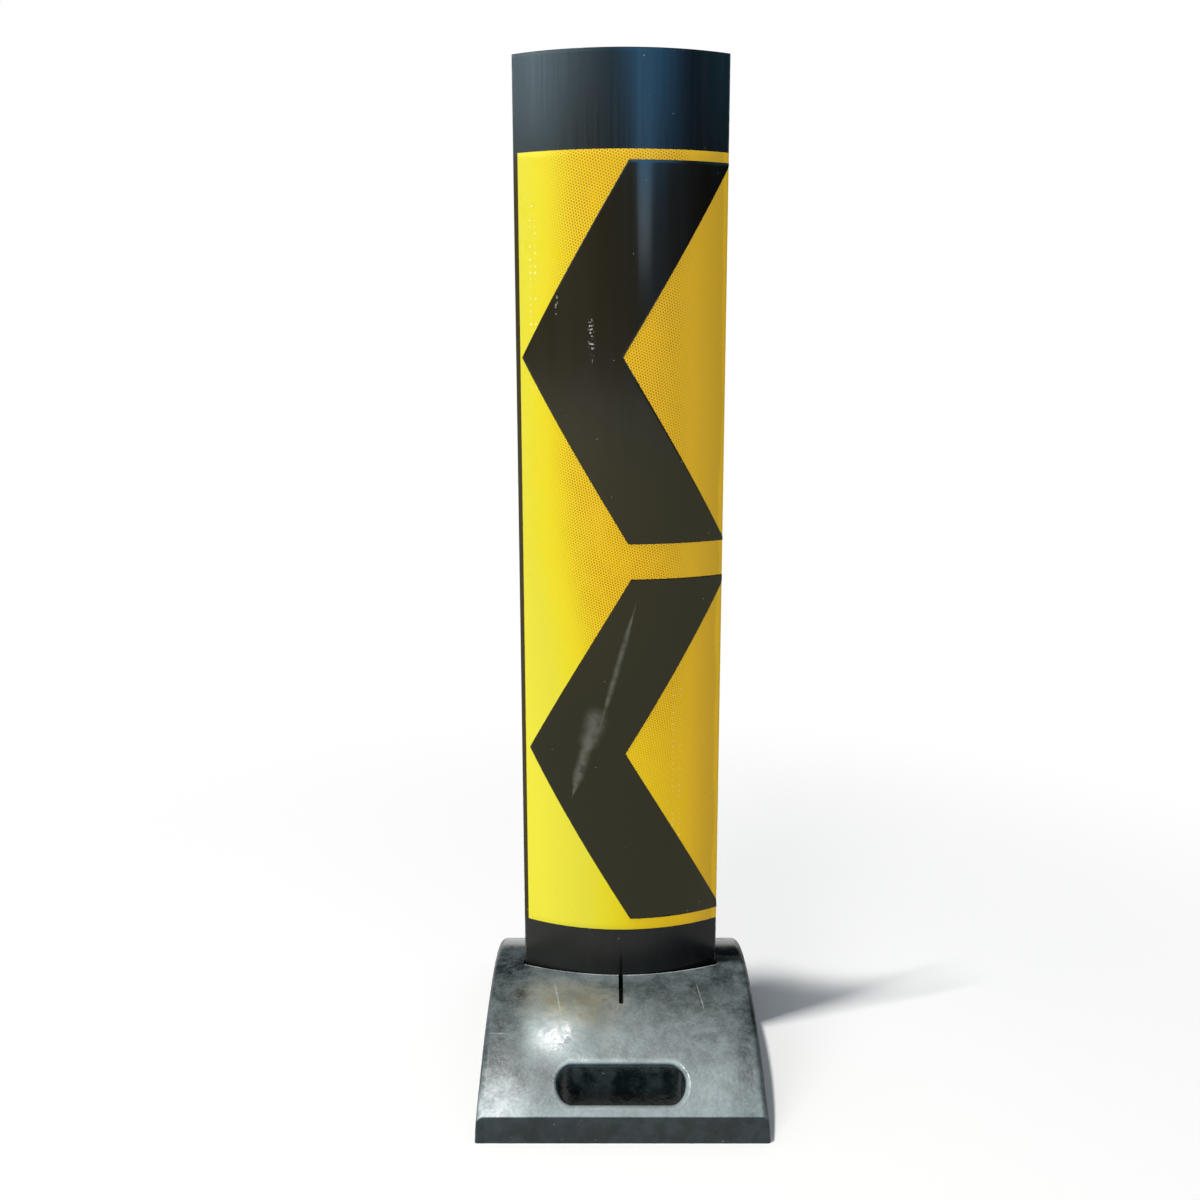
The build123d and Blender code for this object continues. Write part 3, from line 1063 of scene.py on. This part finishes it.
def base_places(tree):
    """What the effects on the base read: places, directions and cloudy noise in three sizes."""
    coordinates = add(tree, "ShaderNodeTexCoord").outputs
    spot = coordinates["Object"]
    parts = split(tree, spot)
    return SimpleNamespace(
        spot=spot,
        x=parts["X"],
        y=parts["Y"],
        plan=join(tree, parts["X"], parts["Y"], 0.0),
        across=calc(tree, "ABSOLUTE", parts["X"]),
        from_crest=calc(tree, "ABSOLUTE", parts["Y"]),
        facing_up=ramp(tree, split(tree, coordinates["Normal"])["Z"], *FACING_UP),
        facing_sun=dot(tree, coordinates["Normal"], SUNWARD),
        cloud=place(tree, patches_group, vector=spot, scale=15.0, low=0.32, high=0.68, warp=0.3),
        mottle=place(tree, patches_group, vector=spot, scale=62.0, low=0.33, high=0.69, warp=0.2),
        speckle=place(tree, patches_group, vector=spot, scale=330.0, low=0.3, high=0.7, warp=0.0),
    )


def zone(tree, at, **bounds):
    """1 inside a part of the base and 0 outside it, with one ramp along each measure that bounds it."""
    return times(tree, *(ramp(tree, getattr(at, measure), *bound) for measure, bound in bounds.items()))


print("places on the base are measured from above, from the middle and from the crest")

# %% Rims of the hand holes and the socket
HOLE_HALF = 0.062
HOLE_END = 0.0145
HOLE_MIDDLE = 0.1506
HOLE_RIM = 0.006
HOLE_WEAR = (1.3 * HOLE_RIM, 0.6 * HOLE_RIM)
SOCKET_RADIUS = 0.255
SOCKET_FRONT_GAP = 0.0015
SOCKET_HALF = 0.1055
SOCKET_LINE = (0.0016, 0.0006)
socket_axis = (0, blade_front - SOCKET_FRONT_GAP + SOCKET_RADIUS, 0)


def on_hole_rim(tree, at):
    """1 on the rounded rim of a hand hole and 0 away from it."""
    past_end = calc(tree, "MAXIMUM", calc(tree, "SUBTRACT", at.across, HOLE_HALF - HOLE_END), 0.0)
    along = calc(tree, "SUBTRACT", at.from_crest, HOLE_MIDDLE)
    off_wall = calc(tree, "SUBTRACT", length(tree, join(tree, past_end, along, 0.0)), HOLE_END)
    return ramp(tree, off_wall, *HOLE_WEAR)


def on_socket_rim(tree, at):
    """1 on a thin line along the front of the socket and 0 away from it."""
    from_axis = length(tree, vector_calc(tree, "SUBTRACT", at.plan, socket_axis))
    off_rim = calc(tree, "ABSOLUTE", calc(tree, "SUBTRACT", from_axis, SOCKET_RADIUS))
    return times(tree, ramp(tree, off_rim, *SOCKET_LINE), calc(tree, "LESS_THAN", at.across, SOCKET_HALF))


print("hand holes", 2000 * HOLE_HALF, "mm long, socket axis at y", round(socket_axis[1], 4))

# %% [markdown]
# ## Weathered rubber: chalk
# Chalk and dust have settled on what faces up, and the walls stayed black. The colour is also painted
# lighter towards the low ends, partly dust and partly a painted sheen from the sun, and lighter on the lit
# left side; it is painted darker as shade in strips along the side edges, on slopes facing away from the
# sun and in the blade's shadow at the right, and painted pale as highlights on the rims of the hand holes.
# One mask could not tell it all, because the amount varies from place to place. So it is a sum: each
# place, patch or rim adds its own share or takes some away. The sum counts only where dust can settle
# and out of the painted shade.

# %% Where chalk lies on the rubber
PAINTED_SHADE = (0.72, 0.42)
SHADE_OFF_RIM = 0.5
TOP_EDGE = (0.1810, 0.1794)
LOW_END = (0.030, 0.115)
LOW_END_SLANT = -0.35
FOOT = {"from_crest": (0.145, 0.180)}
LIT_LEFT = {"x": (0.035, -0.045), "from_crest": (0.0, 0.085, 0.45, 1.0)}
LEFT_SHADE_STRIP = {"x": (-0.086, -0.108), "from_crest": (0.168, 0.140)}
LEFT_TOP = {"x": (-0.086, -0.108), "from_crest": (0.060, 0.030)}
RIGHT_SHADE_STRIP = {"x": (0.105, 0.124), "from_crest": (0.04, 0.09)}
BY_SOCKET = {"across": (0.055, 0.015), "from_crest": (0.042, 0.018)}
RUB_TURN = radians(62)
RUB_LINES = (0.60, 0.74)
LIT_RIM = (0.84, 0.96)
FAR_RIM_HIGHLIGHT = (HOLE_MIDDLE - 0.006, HOLE_MIDDLE - 0.014)
WORN_AND_SHEEN_SPOTS = [
    # this first spot is a painted sheen in front of the blade
    ((-0.064, -0.098, 0), 0.065, 0.31),
    ((-0.076, -0.149, 0), 0.036, -0.34),
    ((0.088, -0.162, 0), 0.042, 0.12),
]


def add_up(tree, *shares):
    """Add shares of several effects: (effect, share) pairs."""
    total = 0.0
    for value, share in shares:
        total = calc(tree, "MULTIPLY_ADD", value, share, total)
    return total


def dust_outside_painted_shade(tree, at, hole_rim):
    """1 on what faces up, less in painted shade away from the sun, and 0 past the top edge of an end face.
    """
    # painted shade on slopes that face away from the sun
    painted_shade = ramp(tree, at.facing_sun, *PAINTED_SHADE)
    painted_shade = times(tree, painted_shade, between(tree, hole_rim, SHADE_OFF_RIM, 1.0))
    out_of_painted_shade = calc(tree, "SUBTRACT", 1.0, painted_shade)
    return times(tree, at.facing_up, out_of_painted_shade, ramp(tree, at.from_crest, *TOP_EDGE))


def rub_marks(tree, at):
    """Fine slanting lines, rubbed into the cloudy parts."""
    turn = {"Vector": at.plan, "Angle": RUB_TURN}
    slanted = add(tree, "ShaderNodeVectorRotate", turn, rotation_type="Z_AXIS").outputs[0]
    lines = place(tree, streaks_group, vector=slanted, fineness=260.0, stretch=0.06)
    return times(tree, ramp(tree, lines, *RUB_LINES), at.cloud)


def chalk_and_light_amount(tree, at, hole_rim, painted_blade_shadow):
    """Chalk and painted light: shares of the places, patches and rims that hold more or less of it."""
    slant = calc(tree, "MULTIPLY_ADD", at.x, LOW_END_SLANT, at.from_crest)
    worn = [(soft_spot(tree, at.plan, centre, radius), share) for centre, radius, share in WORN_AND_SHEEN_SPOTS]
    return add_up(
        tree,
        # lighter towards the low ends: partly dust, partly painted sheen
        (ramp(tree, slant, *LOW_END), 0.22),
        (zone(tree, at, **FOOT), 0.10),
        # painted light: lighter on the lit left
        (zone(tree, at, **LIT_LEFT), 0.15),
        # painted shade: a darker strip along the left edge
        (zone(tree, at, **LEFT_SHADE_STRIP), -0.42),
        (zone(tree, at, **LEFT_TOP), 0.17),
        # painted shadow of the blade at the right
        (painted_blade_shadow, -0.35),
        # painted shade: a darker strip along the right edge
        (zone(tree, at, **RIGHT_SHADE_STRIP), -0.14),
        (zone(tree, at, **BY_SOCKET), 0.18),
        (at.cloud, 0.14),
        (at.mottle, 0.13),
        (at.speckle, 0.12),
        (rub_marks(tree, at), 0.14),
        # painted highlights on the rims of the hand holes: where they face the light, and a pale line on the
        # far rim
        (times(tree, hole_rim, ramp(tree, at.facing_sun, *LIT_RIM)), 0.25),
        (times(tree, hole_rim, hole_rim, ramp(tree, at.from_crest, *FAR_RIM_HIGHLIGHT)), 0.30),
        (1.0, 0.02),
        *worn,
    )


print("chalk depends on", len(WORN_AND_SHEEN_SPOTS), "worn spots and on the places around them")

# %% [markdown]
# ## Weathered rubber: marks
# Marks lie over the chalk: a brown tint in front of the blade that is a painted reflection of the yellow
# sheeting, a painted sheen there too, dust at the front left corner, a few scratches, and a pale line
# along the front rim of the socket that is partly wear and partly a painted edge highlight. Each is a soft
# spot, a smear or a thin line that is mixed over the colour, and grains of grit lie over them all.

# %% Marks on the rubber
DUST_AND_HIGHLIGHT = (0.66, 0.71, 0.73, 1)
YELLOW_REFLECTION_BROWN = (0.24, 0.213, 0.142, 1)
GRIT = (0.36, 0.37, 0.36, 1)
BROKEN_REFLECTION = (0.2, 0.8, 0.3, 0.85)
SOCKET_RIM_PATCHES = (0.0, 1.0, 0.3, 0.7)
# a brown tint that is a painted reflection of the yellow sheeting
YELLOW_REFLECTION_SPOTS = [((-0.074, -0.060, 0), 0.050), ((-0.034, -0.070, 0), 0.054)]
# the second dust spot is a painted sheen in front of the blade
DUST_AND_SHEEN_SPOTS = [((-0.128, -0.180, 0), 0.058, 1.0), ((-0.064, -0.102, 0), 0.042, 0.6)]
SCRATCHES = [
    {"start": (-0.072, -0.030, 0), "end": (-0.062, -0.086, 0), "width": 0.0013},
    {"start": (0.080, -0.030, 0), "end": (0.087, -0.080, 0), "width": 0.0010},
    {"start": (-0.138, -0.104, 0), "end": (-0.112, -0.105, 0), "width": 0.0009},
]
SCRATCH_SHARE = 0.45


def add_rubber_marks(tree, at, dusty_and_lit, colour):
    """The rubber's colour with painted reflection and sheen, dust, scratches, pale rim and grit."""
    patchy = add_up(tree, (at.mottle, 0.6), (at.speckle, 0.4))
    broken_reflection = ramp(tree, patchy, *BROKEN_REFLECTION)
    # painted reflection: a brown tint of the yellow sheeting
    for centre, radius in YELLOW_REFLECTION_SPOTS:
        brown = times(tree, dusty_and_lit, soft_spot(tree, at.plan, centre, radius), broken_reflection)
        colour = mix(tree, brown, colour, YELLOW_REFLECTION_BROWN)
    # dust at the corner, and a painted sheen in front of the blade
    for centre, radius, share in DUST_AND_SHEEN_SPOTS:
        dust_and_sheen = times(tree, dusty_and_lit, soft_spot(tree, at.plan, centre, radius), patchy, share)
        colour = mix(tree, dust_and_sheen, colour, DUST_AND_HIGHLIGHT)
    for scratch in SCRATCHES:
        line = place(tree, smear_group, vector=at.plan, grain=330.0, **scratch)
        colour = mix(tree, times(tree, dusty_and_lit, line, SCRATCH_SHARE), colour, DUST_AND_HIGHLIGHT)
    # a pale line on the socket's front rim: partly wear, partly a painted edge highlight
    rim_wear_and_highlight = times(tree, dusty_and_lit, on_socket_rim(tree, at), ramp(tree, at.mottle, *SOCKET_RIM_PATCHES))
    colour = mix(tree, rim_wear_and_highlight, colour, DUST_AND_HIGHLIGHT)
    grit = place(tree, specks_group, vector=at.spot, scale=420.0, share=0.005, radius=0.22)
    return mix(tree, grit, colour, GRIT)


# the stains counted here are the painted reflection spots
print("marks:", len(YELLOW_REFLECTION_SPOTS), "stains,", len(DUST_AND_SHEEN_SPOTS), "dusty spots,", len(SCRATCHES), "scratches")

# %% [markdown]
# ## Weathered rubber: gloss and surface
# In front of the blade the rubber has swollen a little and wrinkled, and the swelling catches the sun as
# a broken sheen. It rises too little to change the outline, so a bump does it. The rims of the hand holes
# are rubbed smooth by hands. Behind the blade the rubber is smooth too, and its fine unevenness fades, so
# that it mirrors evenly. Only at the right, in the blade's shadow, is the colour painted darker and the
# rubber made to gleam less: a painted shadow.

# %% Finish: base rubber
RUBBER = (0.003, 0.0065, 0.0075, 1)
RUBBER_WORN = (0.020, 0.030, 0.032, 1)
CHALK_AND_LIGHT = (0.365, 0.430, 0.445, 1)
BLISTER = (-0.056, -0.088, 0)
BLISTER_RADIUS = 0.050
BLISTER_RISE = 0.0066
BLISTER_SHINE = (0.0, 0.4)
WRINKLED = (0.05, 0.5)
WRINKLE_DEPTH = 0.0013
CLOUD_DEPTH = 0.0006
MOTTLE_DEPTH = 0.00018
SPECKLE_DEPTH = 0.00004
BLADE_SHADOW_ZONE = {"y": (0.004, 0.020), "x": (0.04, 0.10)}
BLADE_SHADOW_GLOSS = 0.2
PLAIN_GLOSS = 0.5
BEHIND_START = (0.010, 0.035)
BEHIND_END = (0.130, 0.095)
BEHIND_SIDE = (0.139, 0.132)
BEHIND_UNEVEN = (0.0, 1.0, 1.0, 0.15)
RUBBER_IOR = 1.45


def rubber_height(tree, at, blister, behind):
    """How the surface rises and falls, in metres."""
    folds = noise(tree, at.plan, scale=48.0, detail=0.0, distortion=1.5)
    wrinkles = times(tree, folds, ramp(tree, blister, *WRINKLED))
    height = add_up(
        tree,
        (blister, BLISTER_RISE),
        (wrinkles, WRINKLE_DEPTH),
        (at.cloud, CLOUD_DEPTH),
        (at.mottle, MOTTLE_DEPTH),
        (at.speckle, SPECKLE_DEPTH),
    )
    return times(tree, height, ramp(tree, behind, *BEHIND_UNEVEN))


def make_base_rubber():
    material, tree, shader = new_finish("base_rubber")
    at = base_places(tree)
    hole_rim = on_hole_rim(tree, at)
    # painted shadow: the blade's shadow at the right, with less chalk and less gleam
    painted_blade_shadow = times(tree, at.facing_up, zone(tree, at, **BLADE_SHADOW_ZONE))
    dusty_and_lit = dust_outside_painted_shade(tree, at, hole_rim)
    chalk_and_light = times(tree, dusty_and_lit, calc(tree, "MAXIMUM", chalk_and_light_amount(tree, at, hole_rim, painted_blade_shadow), 0.0))
    colour = mix(tree, chalk_and_light, mix(tree, at.mottle, RUBBER, RUBBER_WORN), CHALK_AND_LIGHT)
    blister = soft_spot(tree, at.plan, BLISTER, BLISTER_RADIUS)
    behind = times(tree, at.facing_up, ramp(tree, at.y, *BEHIND_START), ramp(tree, at.y, *BEHIND_END))
    behind = times(tree, behind, ramp(tree, at.across, *BEHIND_SIDE))
    shine = ramp(tree, blister, *BLISTER_SHINE)
    polish = [(shine, -0.19), (hole_rim, -0.20), (behind, -0.30), (at.mottle, 0.12), (1.0, 0.38)]
    fill(tree, shader, {
        "Base Color": add_rubber_marks(tree, at, dusty_and_lit, colour),
        "Roughness": add_up(tree, *polish),
        "Normal": bump(tree, rubber_height(tree, at, blister, behind), 1.0),
        # painted shadow: less gleam in the blade's shadow
        "Specular IOR Level": ramp(tree, painted_blade_shadow, 0.0, 1.0, PLAIN_GLOSS, BLADE_SHADOW_GLOSS),
        "IOR": RUBBER_IOR,
    })
    return material


base = nodes["rubber_base"]
base.data.materials.clear()
base.data.materials.append(make_base_rubber())
print("finish:", base.data.materials[0].name)

# %% [markdown]
# ## The cross fin
# The fin sits out of sight in its slot, and shows only when the blade is pulled out. It is sawn plastic
# plate, and the measured node has its shape, so it only gets a duller black with worn patches.

# %% Finish: fin plastic
FIN_BLACK = (0.022, 0.022, 0.023, 1)
FIN_WORN = (0.05, 0.05, 0.05, 1)
SAW_DEPTH = 0.00008
FIN_ROUGHNESS = (0.0, 1.0, 0.45, 0.6)


def make_fin_plastic():
    material, tree, shader = new_finish("fin_plastic")
    spot = add(tree, "ShaderNodeTexCoord").outputs["Object"]
    worn = place(tree, patches_group, vector=spot, scale=80.0, low=0.4, high=0.7, warp=1.0)
    fill(tree, shader, {
        "Base Color": mix(tree, worn, FIN_BLACK, FIN_WORN),
        "Roughness": ramp(tree, worn, *FIN_ROUGHNESS),
        "Normal": bump(tree, worn, SAW_DEPTH),
    })
    return material


fin = nodes["cross_fin"]
fin.data.materials.clear()
fin.data.materials.append(make_fin_plastic())
print("finish:", fin.data.materials[0].name)
